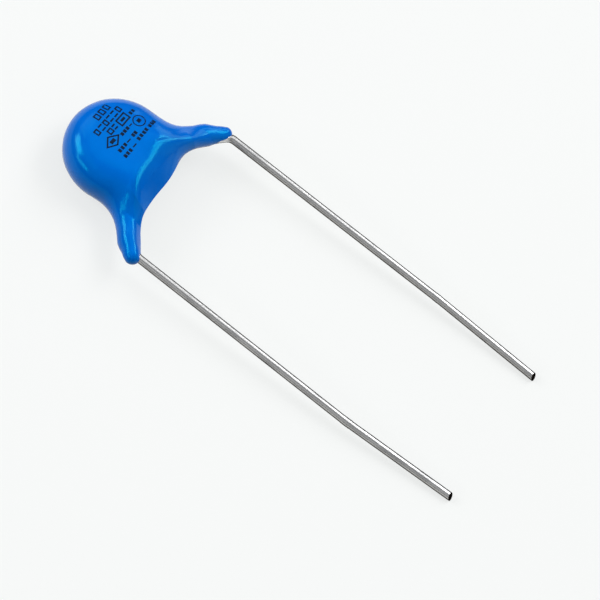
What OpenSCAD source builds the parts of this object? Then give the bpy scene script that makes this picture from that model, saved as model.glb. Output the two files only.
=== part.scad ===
// Radial ceramic disc capacitor, dipped in epoxy and lying face up.
// The origin is on the disc's axis at the surface it lies on. The leads run towards -Y.

/* [Ceramic disc] */
// Radius of the fired ceramic disc
disc_r = 2.6; // [2:0.1:4]
// Thickness of the fired ceramic disc
disc_t = 1.5; // [0.8:0.1:2.4]
// Bare ceramic left round each electrode
electrode_margin = 0.3; // [0.1:0.05:0.8]
// Thickness of each fired silver electrode
electrode_t = 0.05; // [0.02:0.01:0.1]

/* [Solder] */
// Radius of each solder mound where it wets the electrode
solder_r = 1.2; // [0.8:0.05:1.6]
// Radius of the top of each solder mound
solder_top_r = 0.75; // [0.4:0.05:1]
// Height of each solder mound
solder_h = 0.42; // [0.3:0.02:0.6]
// Solder between a lead and its electrode
solder_film = 0.03; // [0.02:0.01:0.1]

/* [Leads] */
// Diameter of the tinned wire
wire_d = 0.5; // [0.4:0.05:0.7]
// Distance between the two leads where they leave the coating
lead_pitch = 10.1; // [8:0.1:13]
// How far the midpoint of the leads lies to the right of the disc's axis
lead_offset = 0.24; // [-0.5:0.01:0.5]
// Distance from the disc's axis to the bend where the left lead turns towards the board
left_drop = 4.8; // [4.2:0.05:7]
// Distance from the disc's axis to the bend where the right lead turns towards the board
right_drop = 4.6; // [4.2:0.05:7]
// Distance from the disc's axis to the cut end of the left lead
lead_reach = 27.7; // [15:0.1:40]
// How much shorter the right lead is cut
right_short = 0.1; // [0:0.05:1]
// Straight run at each cut end, after the lead's last gentle bend
end_run = 7.5; // [3:0.5:10]
// How far the left and the right lead bow outwards at that gentle bend
lead_bow = [0.04, 0.08]; // [0:0.01:0.2]
// How far the left and the right cut end are sprung inwards
end_set = [0.32, 0.1]; // [0:0.02:0.6]
// How far each cut leans back towards the top of the wire, in degrees
cut_lean = 30; // [0:1:45]
// Radius of the sharp bends, at the wire's centre
bend_r = 0.6; // [0.4:0.05:1.2]
// Radius of the gentle bend before the end run, at the wire's centre
gentle_r = 12; // [6:1:30]

/* [Coating] */
// Coating past the ceramic's rim
rim_coat = 0.65; // [0.3:0.01:1]
// Coating over each lead on the disc's faces
face_coat = 0.32; // [0.2:0.02:0.6]
// Radius of the flatter middle of each face
flat_r = 1.5; // [1:0.1:2.4]
// Squareness of the rim, where 2 is an ellipse
rim_power = 2.3; // [2:0.1:4]
// How far the middle of each face stands above its rim
face_dome = 0.14; // [0.03:0.01:0.3]
// Width of the fillets between the disc and its legs
fillet = 1.16; // [0.4:0.02:1.6]

/* [Legs of the coating] */
// Start of the left leg's core inside the disc, across and along the leads
left_root = [-1.2, -1.64]; // [-3:0.01:3]
// Start of the right leg's core inside the disc, across and along the leads
right_root = [1.56, -1.48]; // [-3:0.01:3]
// How far the left and the right root are raised towards their lead's face
root_rise = [0.54, 0.38]; // [0:0.02:1]
// How far the left and the right knee are raised towards their lead's face
knee_rise = [0.2, 0.05]; // [0:0.01:0.4]
// Left leg's radius at its root, knee and rounded end
left_r = [1.1, 0.7, 0.53]; // [0.4:0.01:1.4]
// Right leg's radius at its root, knee and rounded end
right_r = [1.02, 0.63, 0.47]; // [0.4:0.01:1.4]
// Left leg's knee, from the bend of the left lead
left_knee = [0.65, 0.81]; // [-2:0.01:2]
// Left leg's rounded end, from the bend of the left lead
left_end = [-0.12, 0.16]; // [-1:0.01:1]
// Right leg's knee, from the bend of the right lead
right_knee = [-1, 1.31]; // [-2:0.01:2]
// Right leg's rounded end, from the bend of the right lead
right_end = [-0.07, 0.43]; // [-1:0.01:1]
// Radius of the web of coating between the legs
web_r = 1.13; // [0.8:0.02:1.5]
// Middle of that web, along the leads
web_y = -2.22; // [-3:0.02:-1.5]
// Where that web starts and ends, across the leads
web_ends = [-1.25, 0.75]; // [-2:0.05:2]
// How far inside the ceramic's rim each face turns down, at a ridge between the legs
ridge_in = 0.68; // [0:0.02:0.8]
// Slope of the wall below that ridge at the disc's middle, in degrees from the face
wall_tilt = 47; // [40:1:75]
// How fast the wall grows steeper towards the left and the right leg, in degrees per square millimetre
wall_steepening = [0, 2.2]; // [0:0.1:5]
// How fast the ridge swings out along the left and the right leg, per cubic millimetre
wall_sweep = [0.018, 0.03]; // [0.004:0.001:0.04]
// Width over which the ridge is rounded
ridge_round = 0.28; // [0.1:0.01:0.8]

/* [Smoothness] */
// Rays round the free edge of the disc
edge_steps = 15; // [8:1:24]
// Rays along each side of a leg
side_steps = 17; // [10:1:24]
// Rays round each leg's end
end_steps = 8; // [4:1:12]
// Rays from the front of the disc to its back
height_steps = 24; // [16:2:30]

/* [Hidden] */
$fn = 64;

wire_r = wire_d / 2;
// Heights are measured from the middle plane of the disc
electrode_top = disc_t / 2 + electrode_t;
wire_height = electrode_top + solder_film + wire_r;
coat_half = wire_height + wire_r + face_coat;
coat_r = disc_r + rim_coat;
// The back is cut flat by this much where it rests
rest_cut = 0.02;
mid_z = coat_half - rest_cut;

LEFT = -1;
RIGHT = 1;
FRONT = 1;
BACK = -1;

// Each lead starts past its solder mound and runs straight to its own leg, as seen from the front
lead_start = [-1.1, 1.05];
// The lead drops to the middle plane between the disc's rim and this far before its bend
level_run = 1.2;

function lead_x(side) = lead_offset + side * lead_pitch / 2;
function lead_drop(side) = side == LEFT ? left_drop : right_drop;
function of_side(pair, side) = side == LEFT ? pair[0] : pair[1];
function face_of(side) = side == RIGHT ? FRONT : BACK;
function unit(v) = v / norm(v);
function at_height(plan, height) = [plan.x, plan.y, mid_z + height];

// ---- Leads ----

// Where a straight line from a point, in a plan direction, leaves a circle round the axis
function run_to_circle(from, direction, radius) =
    let (along = -from * direction)
    let (miss = norm(from + along * direction))
    along + sqrt(radius * radius - miss * miss);

function lead_bend(side) = [lead_x(side), -lead_drop(side)];

// The lead's centre line from the disc to the cut end
function lead_path(side) =
    let (from = [side * lead_start.x, lead_start.y])
    let (bend = lead_bend(side))
    let (out = unit(bend - from))
    let (rim = from + out * run_to_circle(from, out, disc_r + wire_r))
    let (level = bend - out * level_run)
    let (tip = [bend.x - side * of_side(end_set, side), -lead_reach + of_side([0, right_short], side)])
    let (last = [bend.x + side * of_side(lead_bow, side), tip.y + end_run])
    let (tip_height = wire_r - mid_z)
    let (last_height = tip_height * norm(last - bend) / (norm(last - bend) + norm(tip - last)))
    [
        at_height(from, face_of(side) * wire_height),
        at_height(rim, face_of(side) * wire_height),
        at_height(level, 0),
        at_height(bend, 0),
        at_height(last, last_height),
        at_height(tip, tip_height)
    ];

lead_bends = [0, bend_r, bend_r, bend_r, gentle_r, 0];
bend_swell = 0.01;
// The straights reach this far into each bend
bend_overlap = 0.08;

// Length that a bend takes from each of the two straights that meet at a corner
function bend_trim(path, i) =
    i == 0 || i == len(path) - 1 ? 0 :
    let (before = unit(path[i] - path[i - 1]))
    let (after = unit(path[i + 1] - path[i]))
    lead_bends[i] * tan(acos(min(1, before * after)) / 2);

// Turns +Z to a direction, and +X down as far as that allows
function turn_to(along) = [0, acos(along.z / norm(along)), atan2(along.y, along.x)];

module straight(from, to) {
    run = to - from;
    translate(from)
        rotate(turn_to(run))
            cylinder(r = wire_r, h = norm(run));
}

// The straights run on this far past the tip, and the cut takes that off again
cut_spare = 0.3;
cutter = 1.5;

// What the slanting cut removes at a tip. The lowest point of the cut end lies level with the tip.
module snip(tip, along) {
    translate(tip)
        rotate(turn_to(along))
            translate([wire_r, 0, 0])
                rotate([0, -cut_lean, 0])
                    translate([-cutter / 2, -cutter / 2, 0])
                        cube(cutter);
}

// A round bend from one direction to another, starting at a point. The wire swells a little where
// it is bent, which also hides the ends of the two straights.
module bend(from, before, after, radius) {
    axis = unit(cross(before, after));
    outward = cross(before, axis);
    centre = from - outward * radius;
    multmatrix([
        [outward.x, before.x, axis.x, centre.x],
        [outward.y, before.y, axis.y, centre.y],
        [outward.z, before.z, axis.z, centre.z]
    ])
        rotate_extrude(angle = acos(before * after))
            translate([radius, 0])
                circle(r = wire_r + bend_swell);
}

module lead(side) {
    path = lead_path(side);
    end = len(path) - 1;
    difference() {
        union() {
            for (i = [0 : end - 1]) {
                along = unit(path[i + 1] - path[i]);
                from = path[i] + along * bend_trim(path, i);
                to = path[i + 1] - along * bend_trim(path, i + 1);
                before = i == 0 ? 0 : bend_overlap;
                past = i == end - 1 ? cut_spare : bend_overlap;
                straight(from - along * before, to + along * past);
                if (i < end - 1)
                    bend(to, along, unit(path[i + 2] - path[i + 1]), lead_bends[i + 1]);
            }
        }
        snip(path[end], path[end] - path[end - 1]);
    }
}

// ---- Disc, electrodes and solder ----

module ceramic() {
    translate([0, 0, mid_z - disc_t / 2])
        cylinder(r = disc_r, h = disc_t);
}

module electrode(face) {
    low = face == FRONT ? disc_t / 2 : -electrode_top;
    translate([0, 0, mid_z + low])
        cylinder(r = disc_r - electrode_margin, h = electrode_t);
}

// A low mound with sloping sides, which stands on its electrode
module solder_mound(face) {
    translate([0, 0, mid_z + face * electrode_top])
        rotate([face == FRONT ? 0 : 180, 0, 0])
            cylinder(r1 = solder_r, r2 = solder_top_r, h = solder_h);
}

// ---- Coating ----

// A rounded minimum: the two surfaces meet in a fillet of this width
function blend(a, b, width = fillet) =
    let (near = max(width - abs(a - b), 0) / width)
    min(a, b) - near * near * width / 4;

// A rounded maximum: the first body is cut back to the second
function cut_back(a, b, width) = -blend(-a, -b, width);

// Distance to a rod whose radius runs from r1 to r2
function rod(p, from, to, r1, r2) =
    let (run = to - from)
    let (share = max(0, min(1, (p - from) * run / (run * run))))
    norm(p - from - share * run) - (r1 + (r2 - r1) * share);

// Less than 0 inside the dipped disc: flatter faces inside flat_r, and a round rim outside it
function dipped_disc(p) =
    let (out = norm([p.x, p.y]))
    let (rim_w = coat_r - flat_r)
    let (half = coat_half - face_dome * pow(out / coat_r, 2))
    let (across = max(out - flat_r, 0) / rim_w)
    let (through = abs(p.z - mid_z) / half)
    (pow(pow(across, rim_power) + pow(through, rim_power), 1 / rim_power) - 1) * rim_w;

// Root, knee and end of a leg's core
function leg_core(side) =
    let (bend = lead_bend(side))
    [
        at_height(side == LEFT ? left_root : right_root, face_of(side) * of_side(root_rise, side)),
        at_height(bend + (side == LEFT ? left_knee : right_knee), face_of(side) * of_side(knee_rise, side)),
        at_height(bend + (side == LEFT ? left_end : right_end), 0)
    ];

// Width of the fillet at the knee
knee_fillet = 0.3;
left_core = leg_core(LEFT);
right_core = leg_core(RIGHT);

function leg(p, core, radii) = blend(
    rod(p, core[0], core[1], radii[0], radii[1]),
    rod(p, core[1], core[2], radii[1], radii[2]),
    knee_fillet
);

web_core = [for (x = web_ends) at_height([x, web_y], 0)];
function web(p) = rod(p, web_core[0], web_core[1], web_r, web_r);

// The dipped body before its wall is formed
function body(p) = blend(
    blend(blend(dipped_disc(p), web(p)), leg(p, left_core, left_r)),
    leg(p, right_core, right_r)
);

// Plan distance from the disc's axis to the ridge, which swings out along the legs
function ridge_y(x) = disc_r - ridge_in + of_side(wall_sweep, x < 0 ? LEFT : RIGHT) * pow(abs(x), 3);

steepest = 78;
function tilt(x) = min(steepest, wall_tilt + of_side(wall_steepening, x < 0 ? LEFT : RIGHT) * x * x);

// Less than 0 on the disc's side of the sloping walls that both faces have between the legs
function wall(p) =
    (-p.y - ridge_y(p.x)) * sin(tilt(p.x)) + (abs(p.z - mid_z) - coat_half) * cos(tilt(p.x));

function coat(p) = cut_back(body(p), wall(p), ridge_round);

// Distance from a point inside the coating to its surface, by halving
far_away = 8;
halvings = 18;
function reach(from, direction, low = 0, high = far_away, left = halvings) =
    let (middle = (low + high) / 2)
    left == 0 ? middle :
    coat(from + direction * middle) < 0
        ? reach(from, direction, middle, high, left - 1)
        : reach(from, direction, low, middle, left - 1);

// A leg is scanned by rays from its spine, which runs in the middle plane from the disc's axis over the
// knee to the end
function spine(core, share) =
    let (start = at_height([0, 0], 0))
    let (knee = at_height(core[1], 0))
    let (first = norm(knee - start))
    let (second = norm(core[2] - knee))
    let (run = share * (first + second))
    run < first ? start + (knee - start) * run / first : knee + (core[2] - knee) * (run - first) / second;

// Rays over the outer side of a leg lean this far from the line to its end
side_lean = 50;

// Each ray column: the point it starts from, its direction in plan as an angle from +X for the right
// half, and whether it lies between the legs. The left half is the same with side = LEFT.
function half_columns(side, core) =
    let (end = core[2])
    let (lean = atan2(end.y, side * end.x) + side_lean)
    concat(
        [for (i = [0 : edge_steps - 1]) [spine(core, 0), 90 + (lean - 90) * i / edge_steps, false]],
        [for (i = [0 : side_steps - 1]) [spine(core, i / side_steps), lean, false]],
        [for (i = [0 : end_steps]) [spine(core, 1), lean - (lean + 90) * i / end_steps, false]],
        [for (i = [side_steps - 1 : -1 : 0]) [spine(core, i / side_steps), -90, true]]
    );

function heading(side, angle) = [side * cos(angle), sin(angle), 0];

right_columns = [for (c = half_columns(RIGHT, right_core)) [c[0], heading(RIGHT, c[1]), c[2]]];
left_columns = [for (c = half_columns(LEFT, left_core)) [c[0], heading(LEFT, c[1]), c[2]]];

// Once round the whole coating. The first and last of the left half are already in the right half.
columns = concat(right_columns, [for (i = [len(left_columns) - 2 : -1 : 1]) left_columns[i]]);
column_count = len(columns);

function ray_point(column, angle) =
    let (direction = cos(angle) * column[1] + [0, 0, sin(angle)])
    let (hit = column[0] + direction * reach(column[0], direction))
    [hit.x, hit.y, max(hit.z, 0)];

// Where a ray between the legs meets the plane of the wall on one face
function wall_point(from, face, angle) =
    let (to_ridge = ridge_y(from.x) + from.y)
    let (slope = tilt(from.x))
    let (run = (to_ridge * sin(slope) + coat_half * cos(slope)) / sin(angle + slope))
    from + run * [0, -cos(angle), face * sin(angle)];

// The ridge is looked for above this angle
lowest_ridge = 15;
// How far the wall cuts into the body there
function cut_depth(from, face) = max(0, -body(wall_point(from, face, lowest_ridge)));

// Steepest ray that still meets the wall inside the body, by halving: the ridge lies there
ridge_halvings = 10;
function ridge_angle(from, face, low = lowest_ridge, high = 90, left = ridge_halvings) =
    let (middle = (low + high) / 2)
    left == 0 ? middle :
    body(wall_point(from, face, middle)) < 0
        ? ridge_angle(from, face, middle, high, left - 1)
        : ridge_angle(from, face, low, middle, left - 1);

// The rows of one face: those above the ridge close up towards it along the face, and those below it
// open out again down the wall. The powers set how close together they come at the ridge.
half_rows = height_steps / 2;
face_share = 0.45;
face_rows = round(half_rows * face_share);
face_closing = 1.5;
wall_closing = 1.3;
function ridge_row(ridge, k) =
    let (short_of = max(0, 1 - k / face_rows))
    let (past = max(0, (k - face_rows) / (half_rows - face_rows)))
    k <= face_rows
        ? atan2(1, (1 - pow(short_of, face_closing)) / tan(ridge))
        : ridge * (1 - pow(past, wall_closing));

// Where the wall cuts this deep or more, the rows follow the ridge fully
full_depth = 0.3;

// Angle of row k of a column, from 90 straight up to -90 straight down
function row_angle(column, k) =
    let (face = k <= half_rows ? FRONT : BACK)
    let (from_pole = face == FRONT ? k : height_steps - k)
    let (even = 90 * (1 - from_pole / half_rows))
    let (follow = column[2] ? min(1, cut_depth(column[0], face) / full_depth) : 0)
    let (ridged = follow == 0 ? even : ridge_row(ridge_angle(column[0], face), from_pole))
    face * (even + (ridged - even) * follow);

// Columns that start at one point share the points straight above and below it
shared = [for (i = [0 : column_count - 1]) [for (j = [0 : i]) if (columns[j][0] == columns[i][0]) j][0]];

function point_index(i, k) =
    let (column = k == 0 || k == height_steps ? shared[i % column_count] : i % column_count)
    column * (height_steps + 1) + k;

module dipped_shell() {
    points = [
        for (column = columns)
            for (k = [0 : height_steps])
                ray_point(column, row_angle(column, k))
    ];
    corners = [
        for (i = [0 : column_count - 1])
            for (k = [0 : height_steps - 1])
                each [
                    [point_index(i, k), point_index(i + 1, k + 1), point_index(i + 1, k)],
                    [point_index(i, k), point_index(i, k + 1), point_index(i + 1, k + 1)]
                ]
    ];
    faces = [for (c = corners) if (c[0] != c[1] && c[1] != c[2] && c[2] != c[0]) c];
    polyhedron(points = points, faces = faces);
}

// ---- Sub-parts ----

module coating() {
    color("mediumblue")
        difference() {
            dipped_shell();
            ceramic();
            electrode(FRONT);
            electrode(BACK);
            solder_mound(FRONT);
            solder_mound(BACK);
            lead(LEFT);
            lead(RIGHT);
        }
}

module ceramic_disc() {
    color("tan")
        ceramic();
}

module electrode_front() {
    color("silver")
        electrode(FRONT);
}

module electrode_back() {
    color("silver")
        electrode(BACK);
}

module solder_front() {
    color("slategray")
        difference() {
            solder_mound(FRONT);
            lead(RIGHT);
        }
}

module solder_back() {
    color("slategray")
        difference() {
            solder_mound(BACK);
            lead(LEFT);
        }
}

module lead_left() {
    color("lightsteelblue")
        lead(LEFT);
}

module lead_right() {
    color("lightsteelblue")
        lead(RIGHT);
}

coating();
ceramic_disc();
electrode_front();
electrode_back();
solder_front();
solder_back();
lead_left();
lead_right();
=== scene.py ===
"""Looks for a dipped ceramic disc capacitor that lies face up.

Glossy epoxy with ink marks, tinned wire, a plain floor, soft light and the camera.
"""
import math

import bpy
from mathutils import Matrix, Quaternion, Vector
from mathutils.bvhtree import BVHTree


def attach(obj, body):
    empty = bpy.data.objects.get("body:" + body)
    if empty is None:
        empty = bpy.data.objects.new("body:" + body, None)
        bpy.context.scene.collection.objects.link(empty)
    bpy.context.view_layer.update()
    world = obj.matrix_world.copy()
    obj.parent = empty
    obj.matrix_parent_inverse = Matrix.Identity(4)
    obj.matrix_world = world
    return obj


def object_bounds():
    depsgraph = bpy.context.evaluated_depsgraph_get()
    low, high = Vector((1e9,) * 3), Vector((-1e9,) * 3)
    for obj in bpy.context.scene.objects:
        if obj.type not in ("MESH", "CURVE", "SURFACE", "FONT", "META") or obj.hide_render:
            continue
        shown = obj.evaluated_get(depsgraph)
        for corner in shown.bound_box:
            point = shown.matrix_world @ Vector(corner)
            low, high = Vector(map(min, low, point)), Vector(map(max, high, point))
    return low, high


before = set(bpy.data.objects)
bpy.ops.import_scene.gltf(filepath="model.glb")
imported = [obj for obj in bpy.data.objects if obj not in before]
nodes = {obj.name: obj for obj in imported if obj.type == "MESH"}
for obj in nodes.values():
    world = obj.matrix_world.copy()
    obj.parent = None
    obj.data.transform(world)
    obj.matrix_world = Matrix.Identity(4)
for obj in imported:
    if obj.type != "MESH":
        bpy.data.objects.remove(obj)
cad_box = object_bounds()
MM = 0.001


# ---- Node helpers ----

class Tree:
    """A short way to write one material's nodes."""

    def __init__(self, name, base, rough, metal=0.0):
        self.material = bpy.data.materials.new(name)
        self.material.use_nodes = True
        self.tree = self.material.node_tree
        self.shader = self.tree.nodes["Principled BSDF"]
        self.set("Base Color", (*base, 1))
        self.set("Roughness", rough)
        self.set("Metallic", metal)
        self.coords = self.add("ShaderNodeTexCoord").outputs["Object"]

    def add(self, kind, **settings):
        node = self.tree.nodes.new(kind)
        for key, value in settings.items():
            setattr(node, key, value)
        return node

    def feed(self, socket, value):
        if isinstance(value, bpy.types.NodeSocket):
            self.tree.links.new(value, socket)
        else:
            socket.default_value = value

    def set(self, name, value):
        self.feed(self.shader.inputs[name], value)

    def math(self, operation, *values):
        node = self.add("ShaderNodeMath", operation=operation)
        for socket, value in zip(node.inputs, values):
            self.feed(socket, value)
        return node.outputs[0]

    def split(self, vector):
        """The three parts of a vector."""
        node = self.add("ShaderNodeSeparateXYZ")
        self.feed(node.inputs[0], vector)
        return tuple(node.outputs)

    def dot(self, x, y, direction):
        """How far the point x, y reaches along a direction."""
        reach = (self.math("MULTIPLY", part, share) for part, share in zip((x, y), direction))
        return self.math("ADD", *reach)

    def noise(self, size, detail=2.0, roughness=0.5, stretch=None):
        """Noise whose features are about size metres across."""
        source = self.coords
        if stretch:
            scaled = self.add("ShaderNodeVectorMath", operation="MULTIPLY")
            self.feed(scaled.inputs[0], source)
            self.feed(scaled.inputs[1], stretch)
            source = scaled.outputs[0]
        node = self.add("ShaderNodeTexNoise")
        settings = (("Vector", source), ("Scale", 1 / size), ("Detail", detail), ("Roughness", roughness))
        for key, value in settings:
            self.feed(node.inputs[key], value)
        return node.outputs["Fac"]

    def ramp(self, value, *stops):
        """A colour ramp. Each stop is a place and a colour, or a single number for a grey."""
        node = self.add("ShaderNodeValToRGB")
        self.feed(node.inputs["Fac"], value)
        marks = node.color_ramp.elements
        while len(marks) < len(stops):
            marks.new(0.5)
        for mark, (place, colour) in zip(marks, stops):
            mark.position = place
            mark.color = (*colour, 1) if isinstance(colour, tuple) else (colour, colour, colour, 1)
        return node.outputs["Color"]

    def spread(self, value, low, high, to_low, to_high, kind="LINEAR"):
        """The value carried over from low..high to to_low..to_high."""
        node = self.add("ShaderNodeMapRange", interpolation_type=kind)
        self.feed(node.inputs["Value"], value)
        for key, number in (("From Min", low), ("From Max", high), ("To Min", to_low), ("To Max", to_high)):
            self.feed(node.inputs[key], number)
        return node.outputs["Result"]

    def mix(self, amount, first, second, blend="MIX"):
        """Two colours mixed, on the sockets that the node keeps for colours."""
        node = self.add("ShaderNodeMix", data_type="RGBA", blend_type=blend)
        for socket, value in ((0, amount), (6, first), (7, second)):
            self.feed(node.inputs[socket], value)
        return node.outputs[2]

    def bump(self, height, distance, strength=1.0, after=None):
        """The normal of a bumped surface, on top of the normal of an earlier bump."""
        node = self.add("ShaderNodeBump")
        self.feed(node.inputs["Distance"], distance)
        self.feed(node.inputs["Strength"], strength)
        self.feed(node.inputs["Height"], height)
        if after:
            self.feed(node.inputs["Normal"], after)
        return node.outputs["Normal"]


# ---- Epoxy ----
# The places below are in millimetres on the plan, from the middle of the disc.

RIDGE_Y = -2.15                  # the ridge above the sloping wall, at x = 0
RIDGE_SWING = 0.015              # how much it drops towards the legs, times the cube of x
RIDGE_ROUNDING = (-0.48, 0.5)    # where its rounding starts and ends, across the ridge
RIDGE_LEFT = (-3.2, -2.2)        # where the rounding fades in, on the left
RIDGE_RIGHT = (3.2, 4.2)         # where it fades out, on the right
RIDGE_DEPTH = 0.3 * MM
FOLD_START = (1.15, -1.6)        # a small fold of the dip at the root of the right leg
FOLD_ALONG = (0.882, -0.471)
FOLD_ACROSS = (0.471, 0.882)
FOLD_HALF_WIDTH = 0.07
FOLD_DEPTH = 0.03 * MM


def ridge_crest(t, x, y):
    """Rises from 0 to 1 across the ridge, and is 0 out on the legs."""
    swing = t.math("MULTIPLY", t.math("POWER", t.math("ABSOLUTE", x), 3.0), RIDGE_SWING)
    past = t.math("SUBTRACT", t.math("SUBTRACT", RIDGE_Y, y), swing)
    crest = t.spread(past, *RIDGE_ROUNDING, 0.0, 1.0, "SMOOTHSTEP")
    fade = t.math("MULTIPLY", t.spread(x, *RIDGE_LEFT, 0.0, 1.0), t.spread(x, *RIDGE_RIGHT, 1.0, 0.0))
    return t.math("MULTIPLY", crest, fade)


def dip_fold(t, x, y):
    """Sinks from 0 to -1 along the middle of the fold, and is 0 past its ends."""
    x, y = (t.math("SUBTRACT", part, start) for part, start in zip((x, y), FOLD_START))
    along, across = t.dot(x, y, FOLD_ALONG), t.dot(x, y, FOLD_ACROSS)
    trough = t.spread(t.math("ABSOLUTE", across), 0.0, FOLD_HALF_WIDTH, -1.0, 0.0, "SMOOTHSTEP")
    within = t.math("MULTIPLY", t.spread(along, -0.1, 0.15, 0.0, 1.0), t.spread(along, 0.5, 0.9, 1.0, 0.0))
    return t.math("MULTIPLY", trough, within)


def epoxy():
    """Glossy blue dip, whose bumps round the ridge and show the fold."""
    t = Tree("epoxy_blue", (0.0, 0.13, 0.6), 0.2)
    t.set("Base Color", t.ramp(t.noise(1.8 * MM, 3), (0.3, (0.0, 0.122, 0.57)), (0.7, (0.0, 0.14, 0.63))))
    t.set("Roughness", t.spread(t.noise(0.7 * MM, 3), 0.3, 0.7, 0.15, 0.19))
    t.set("Specular IOR Level", 0.35)
    t.set("Specular Tint", (0.0, 1.0, 1.0, 1))
    x, y = (t.math("DIVIDE", part, MM) for part in t.split(t.coords)[:2])
    ridge = t.bump(ridge_crest(t, x, y), RIDGE_DEPTH)
    fold = t.bump(dip_fold(t, x, y), FOLD_DEPTH, 1.0, ridge)
    slow = t.bump(t.noise(1.6 * MM, 1), 0.01 * MM, 0.25, fold)
    t.set("Normal", t.bump(t.noise(0.35 * MM, 2), 0.002 * MM, 0.5, slow))
    return t


# ---- Metal and ceramic ----

PAINTED_LIGHT_SIDE = (-0.88, -0.476)       # the x and z of the direction that sets the painted highlight and painted shade around the wire
CUT_BELOW = -26.9 * MM           # the snipped ends lie past this y
CUT_FACING = -0.45               # and the y of their normals is below this


def tinned():
    """Drawn and tinned wire with a painted highlight along one side and painted shade along its edges, and
    dark snipped ends.
    """
    t = Tree("tinned_wire", (0.6, 0.61, 0.62), 0.28, 1.0)
    normal_x, normal_y, normal_z = t.split(t.add("ShaderNodeNewGeometry").outputs["Normal"])
    # The tin's colour changes around the wire: a painted highlight along one side and painted shade along
    # both edges, set by the normal's direction.
    toward_painted_light = t.spread(t.dot(normal_x, normal_z, PAINTED_LIGHT_SIDE), -1.0, 1.0, 0.0, 1.0)
    painted_streak_and_shade = t.ramp(toward_painted_light, (0.0, 0.22), (0.12, 0.32), (0.35, 0.95), (0.5, 0.9),
                    (0.66, (0.9, 0.9, 0.89)), (0.8, (0.5, 0.49, 0.48)),
                    (0.93, (0.11, 0.1, 0.09)), (1.0, (0.07, 0.06, 0.05)))
    blotch = t.noise(0.5 * MM, 4, 0.6, (1, 0.3, 1))
    mottle = t.ramp(blotch, (0.3, (0.55, 0.55, 0.56)), (0.5, 0.9), (0.7, 1.0))
    tin_with_painted_streak = t.mix(1.0, painted_streak_and_shade, mottle, "MULTIPLY")
    past_end = t.math("LESS_THAN", t.split(t.coords)[1], CUT_BELOW)
    cut = t.math("MULTIPLY", past_end, t.math("LESS_THAN", normal_y, CUT_FACING))
    bare = t.ramp(t.noise(0.1 * MM, 2), (0.3, 0.02), (0.7, (0.09, 0.08, 0.07)))
    t.set("Base Color", t.mix(cut, tin_with_painted_streak, bare))
    t.set("Specular Tint", (0.15, 0.15, 0.16, 1))
    t.set("Roughness", t.spread(blotch, 0.3, 0.7, 0.34, 0.2))
    draw = t.bump(t.noise(0.12 * MM, 2, 0.5, (1, 0.06, 1)), 0.006 * MM, 0.6)
    t.set("Normal", t.bump(t.noise(0.5 * MM, 2), 0.012 * MM, 0.5, draw))
    return t


def fired():
    t = Tree("fired_ceramic", (0.62, 0.5, 0.36), 0.75)
    t.set("Base Color", t.ramp(t.noise(0.25 * MM, 5), (0.3, (0.52, 0.4, 0.28)), (0.7, (0.68, 0.56, 0.42))))
    t.set("Normal", t.bump(t.noise(0.08 * MM, 3), 0.006 * MM))
    return t


def silver():
    t = Tree("fired_silver", (0.86, 0.85, 0.82), 0.45, 1.0)
    t.set("Base Color", t.ramp(t.noise(0.3 * MM, 4), (0.3, (0.78, 0.77, 0.73)), (0.7, (0.9, 0.89, 0.87))))
    t.set("Normal", t.bump(t.noise(0.06 * MM, 3), 0.004 * MM))
    return t


def solder():
    t = Tree("solder", (0.62, 0.63, 0.65), 0.32, 1.0)
    t.set("Base Color", t.ramp(t.noise(0.5 * MM, 3), (0.3, (0.52, 0.53, 0.56)), (0.7, (0.72, 0.73, 0.74))))
    t.set("Normal", t.bump(t.noise(0.3 * MM, 2), 0.02 * MM))
    return t


# ---- Materials and smooth shading of the CAD nodes ----

COAT_ANGLE = 50                  # edges sharper than this stay hard, in degrees
PIECE_ANGLE = 40
WELD_REACH = 0.002 * MM          # welds the doubled points along a CAD mesh's faces


def wear(obj, look):
    obj.data.materials.clear()
    obj.data.materials.append(look.material)


def smooth(obj, angle):
    split = obj.modifiers.new("split", "EDGE_SPLIT")
    split.split_angle = math.radians(angle)
    obj.data.shade_smooth()


def smooth_cad(obj, angle):
    """Smooth shading of a CAD mesh, which comes with doubled points and its own flat normals."""
    weld = obj.modifiers.new("weld", "WELD")
    weld.merge_threshold = WELD_REACH
    smooth(obj, angle)
    if obj.data.has_custom_normals:
        obj.data.normals_split_custom_set([(0, 0, 0)] * len(obj.data.loops))


LOOKS = (
    (epoxy, ("coating",), COAT_ANGLE),
    (tinned, ("lead_left", "lead_right"), PIECE_ANGLE),
    (fired, ("ceramic_disc",), PIECE_ANGLE),
    (silver, ("electrode_front", "electrode_back"), PIECE_ANGLE),
    (solder, ("solder_front", "solder_back"), PIECE_ANGLE),
)
for make, names, angle in LOOKS:
    look = make()
    for name in names:
        wear(nodes[name], look)
        smooth_cad(nodes[name], angle)


# ---- Ink marks on the face ----
# The marks stand in for the print: plain boxes, bars, blocks, a diamond and a ring, in millimetres.

INK = 0.005 * MM                 # how far the ink reaches above and below the skin
STEP = 0.1                       # the ink's facets are no longer or wider than this
MITRE = 0.5                      # a sharp corner reaches out by 1 / MITRE half widths at most
RING_SIDES = 24
RAY_START = 20 * MM              # a height well above the coating

coat = nodes["coating"]
skin = BVHTree.FromPolygons([coat.matrix_world @ v.co for v in coat.data.vertices],
                            [tuple(f.vertices) for f in coat.data.polygons])
ink_points, ink_faces = [], []


def on_skin(x, y):
    """The coating's upper surface over a plan point, and its normal."""
    spot, normal, _, _ = skin.ray_cast(Vector((x * MM, y * MM, RAY_START)), Vector((0, 0, -1)))
    return spot, normal


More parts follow.
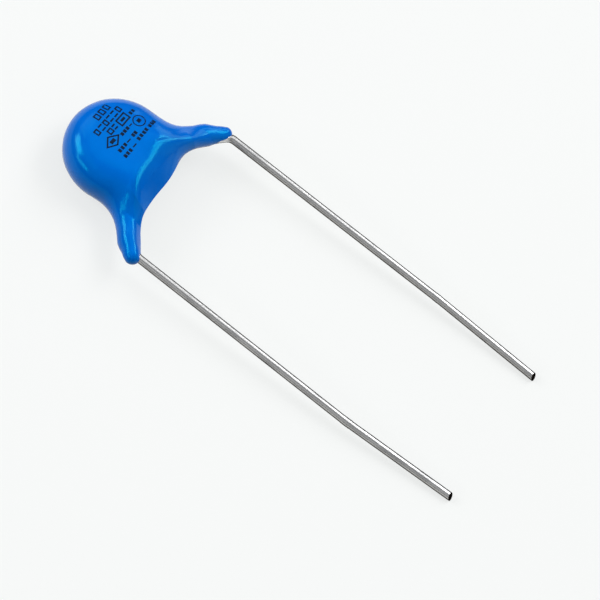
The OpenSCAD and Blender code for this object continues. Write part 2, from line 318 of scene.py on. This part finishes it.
def stroke(corners, width, closed=False):
    """A thin ribbon of ink along a plan line, laid on the coating."""
    corners = [Vector(c) for c in corners]
    line = []
    for a, b in zip(corners, corners[1:] + (corners[:1] if closed else [])):
        parts = max(1, math.ceil((b - a).length / STEP))
        line += [a.lerp(b, k / parts) for k in range(parts)]
    if not closed:
        line.append(corners[-1])
    count, across = len(line), max(1, math.ceil(width / STEP))
    start = len(ink_points)
    for i, here in enumerate(line):
        before = here - line[i - 1] if i or closed else line[1] - here
        after = line[(i + 1) % count] - here if i < count - 1 or closed else before
        before, after = before.normalized(), after.normalized()
        side = Vector((-before.y - after.y, before.x + after.x)).normalized()
        side /= max(MITRE, side.dot(Vector((-before.y, before.x))))
        for k in range(across + 1):
            spot, normal = on_skin(*(here + side * width * (k / across - 0.5)))
            ink_points.extend((spot + normal * INK, spot - normal * INK))
    row = 2 * (across + 1)
    for i in range(count if closed else count - 1):
        a, b = start + i * row, start + (i + 1) % count * row
        for k in range(across):
            ink_faces.append((a + 2 * k, a + 2 * k + 2, b + 2 * k + 2, b + 2 * k))
            ink_faces.append((a + 2 * k + 1, b + 2 * k + 1, b + 2 * k + 3, a + 2 * k + 3))
        ink_faces.append((a, b, b + 1, a + 1))
        ink_faces.append((a + row - 2, a + row - 1, b + row - 1, b + row - 2))
    if not closed:
        for a, order in ((start, 1), (start + (count - 1) * row, -1)):
            for k in range(across):
                quad = (a + 2 * k, a + 2 * k + 1, a + 2 * k + 3, a + 2 * k + 2)
                ink_faces.append(quad[::order])


def block(x0, x1, y0, y1):
    middle = (y0 + y1) / 2
    stroke([(x0, middle), (x1, middle)], y1 - y0)


def box(x0, x1, y0, y1, line=0.09):
    h = line / 2
    stroke([(x0 + h, y0 + h), (x1 - h, y0 + h), (x1 - h, y1 - h), (x0 + h, y1 - h)], line, True)


def bars(x0, x1, y0, y1, line=0.1):
    """Two short level bars."""
    block(x0, x1, y0, y0 + line)
    block(x0, x1, y1 - line, y1)


def ring(x, y, radius, line=0.07):
    turns = [math.tau * k / RING_SIDES for k in range(RING_SIDES)]
    stroke([(x + radius * math.cos(t), y + radius * math.sin(t)) for t in turns], line, True)


def small_blocks(y, *places):
    """A row of small upright blocks, each 0.18 wide and 0.24 high."""
    for x in places:
        block(x, x + 0.18, y - 0.12, y + 0.12)


# First row: three large boxes
for x in (0.0, 0.46, 0.92):
    box(x, x + 0.35, 1.72, 2.17)
# Second row: boxes and bars
for x, shape in ((-0.84, box), (-0.4, bars), (0.0, box), (0.4, bars), (0.82, bars), (1.26, box)):
    shape(x, x + 0.32, 1.12, 1.54)
# Third row: a small box and bars, a wide box with a block in it, and two blocks
box(-0.3, 0.08, 0.6, 0.98)
bars(0.16, 0.44, 0.62, 0.96)
box(0.6, 1.46, 0.44, 1.0, 0.1)
block(0.84, 1.2, 0.64, 0.8)
block(1.6, 1.78, 0.52, 0.74)
block(1.85, 2.02, 0.52, 0.74)
# Fourth row: a diamond with a block in it, three blocks, a dash, and a ring with a block in it
stroke([(-1.1, 0.3), (-0.55, 0.68), (0.0, 0.3), (-0.55, -0.04)], 0.09, True)
block(-0.75, -0.36, 0.2, 0.42)
for x in (0.1, 0.36, 0.62):
    block(x, x + 0.2, 0.06, 0.28)
block(0.9, 1.14, 0.12, 0.2)
ring(1.6, -0.05, 0.37)
block(1.46, 1.74, -0.16, 0.08)
# Fifth row: three blocks, a dash and two blocks
small_blocks(-0.37, -0.86, -0.6, -0.34)
block(-0.06, 0.28, -0.42, -0.34)
small_blocks(-0.36, 0.48, 0.7)
# Sixth row: three blocks, a dash, four blocks and three more
small_blocks(-0.82, -0.92, -0.68, -0.42)
block(-0.08, 0.24, -0.86, -0.78)
small_blocks(-0.74, 0.5, 1.02)
small_blocks(-0.73, 0.76, 1.26, 1.62, 1.86, 2.06)


def add_mesh(name, points, faces):
    """A new object with its own mesh, in the scene."""
    mesh = bpy.data.meshes.new(name)
    mesh.from_pydata(points, [], faces)
    obj = bpy.data.objects.new(name, mesh)
    bpy.context.scene.collection.objects.link(obj)
    return obj


def ink_black():
    t = Tree("ink_black", (0.006, 0.01, 0.02), 0.35)
    t.set("Specular IOR Level", 0.1)
    t.set("Base Color", t.ramp(t.noise(0.2 * MM, 3), (0.3, (0.0, 0.006, 0.02)), (0.75, (0.003, 0.02, 0.06))))
    t.set("Roughness", t.spread(t.noise(0.1 * MM, 2), 0.3, 0.7, 0.3, 0.5))
    return t


ink = add_mesh("ink_marks", ink_points, ink_faces)
wear(ink, ink_black())
smooth(ink, PIECE_ANGLE)
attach(ink, "root")


# ---- Floor ----

FLOOR_HALF = 0.6
FLOOR_GAP = 0.01 * MM            # the floor lies this far below the part
FLOOR_GLOW = 0.725               # how bright the floor looks by itself


def floor_paint():
    """A plain pale floor that takes a shadow. Its glow shows to the camera and in mirrors and glass only."""
    t = Tree("floor", (0.2, 0.2, 0.2), 0.9)
    t.set("Specular IOR Level", 0.0)
    path = t.add("ShaderNodeLightPath").outputs
    mirrored = t.math("MAXIMUM", path["Is Glossy Ray"], path["Is Transmission Ray"])
    seen = t.math("MAXIMUM", path["Is Camera Ray"], mirrored)
    t.set("Emission Color", (0.98, 1.0, 0.99, 1))
    t.set("Emission Strength", t.math("MULTIPLY", seen, FLOOR_GLOW))
    return t


floor_corners = [(x * FLOOR_HALF, y * FLOOR_HALF, 0) for x, y in ((-1, -1), (1, -1), (1, 1), (-1, 1))]
floor = add_mesh("floor", floor_corners, [(0, 1, 2, 3)])
floor.location.z = cad_box[0].z - FLOOR_GAP
wear(floor, floor_paint())


# ---- Light ----

SKY_GLOW = 0.22                  # the world's light straight overhead; it fades to none at the horizon
LAMP_DISTANCE = 0.3
LAMP_AIM = Vector((0, -8 * MM, 0))

world = bpy.data.worlds.new("world")
bpy.context.scene.world = world
world.use_nodes = True
sky, join = world.node_tree.nodes, world.node_tree.links.new
height = sky.new("ShaderNodeSeparateXYZ")
fade = sky.new("ShaderNodeMapRange")
fade.inputs["To Max"].default_value = SKY_GLOW
join(sky.new("ShaderNodeTexCoord").outputs["Generated"], height.inputs[0])
join(height.outputs["Z"], fade.inputs["Value"])
join(fade.outputs["Result"], sky["Background"].inputs["Strength"])
sky["Background"].inputs["Color"].default_value = (0.96, 0.98, 1.0, 1)


def towards(azimuth, elevation):
    a, e = math.radians(azimuth), math.radians(elevation)
    return Vector((math.sin(a) * math.cos(e), -math.cos(a) * math.cos(e), math.sin(e)))


def softbox(name, azimuth, elevation, width, height, power, lean=0):
    """A rectangular lamp that looks at the middle of the object."""
    back = towards(azimuth, elevation)
    data = bpy.data.lights.new(name, "AREA")
    data.shape = "RECTANGLE"
    data.size, data.size_y = width, height
    data.energy = power
    lamp = bpy.data.objects.new(name, data)
    bpy.context.scene.collection.objects.link(lamp)
    lamp.location = LAMP_AIM + back * LAMP_DISTANCE
    lamp.rotation_mode = "QUATERNION"
    lamp.rotation_quaternion = back.to_track_quat("Z", "Y") @ Quaternion((0, 0, 1), math.radians(lean))


softbox("top", 118, 66, 0.24, 0.2, 0.11)
softbox("ridge", 60, 51, 0.22, 0.1, 0.47, -40)
softbox("ridge_low", 86, 28, 0.18, 0.12, 0.13)
softbox("strip", 196, 31, 0.15, 0.1, 0.4, 16)
softbox("strip_end", 230, 23, 0.16, 0.06, 0.16, 16)
softbox("back", 156, 38, 0.14, 0.14, 0.08)
softbox("left", 215, 55, 0.2, 0.1, 0.03)
softbox("near", 272, 34, 0.24, 0.28, 0.05)
softbox("front", 0, 30, 0.34, 0.26, 0.2)


# ---- Camera ----

VIEW_AZIMUTH, VIEW_ELEVATION, VIEW_ROLL = -83.185, 61.394, 30.492
VIEW_DISTANCE = 150 * MM
VIEW_AIM = Vector((-0.402, -13.77, 1.0)) * MM
LENS, SENSOR = 154.19, 36

camera_data = bpy.data.cameras.new("camera")
camera_data.sensor_width = SENSOR
camera_data.lens = LENS
camera_data.clip_start = 0.005
camera_data.clip_end = 5
camera = bpy.data.objects.new("camera", camera_data)
bpy.context.scene.collection.objects.link(camera)
back = towards(VIEW_AZIMUTH, VIEW_ELEVATION)
right = towards(VIEW_AZIMUTH + 90, 0)
level = Matrix((right, back.cross(right), back)).transposed().to_4x4()
place = Matrix.Translation(VIEW_AIM + back * VIEW_DISTANCE)
camera.matrix_world = place @ level @ Matrix.Rotation(math.radians(VIEW_ROLL), 4, "Z")
bpy.context.scene.camera = camera
bpy.context.scene.view_settings.view_transform = "Standard"
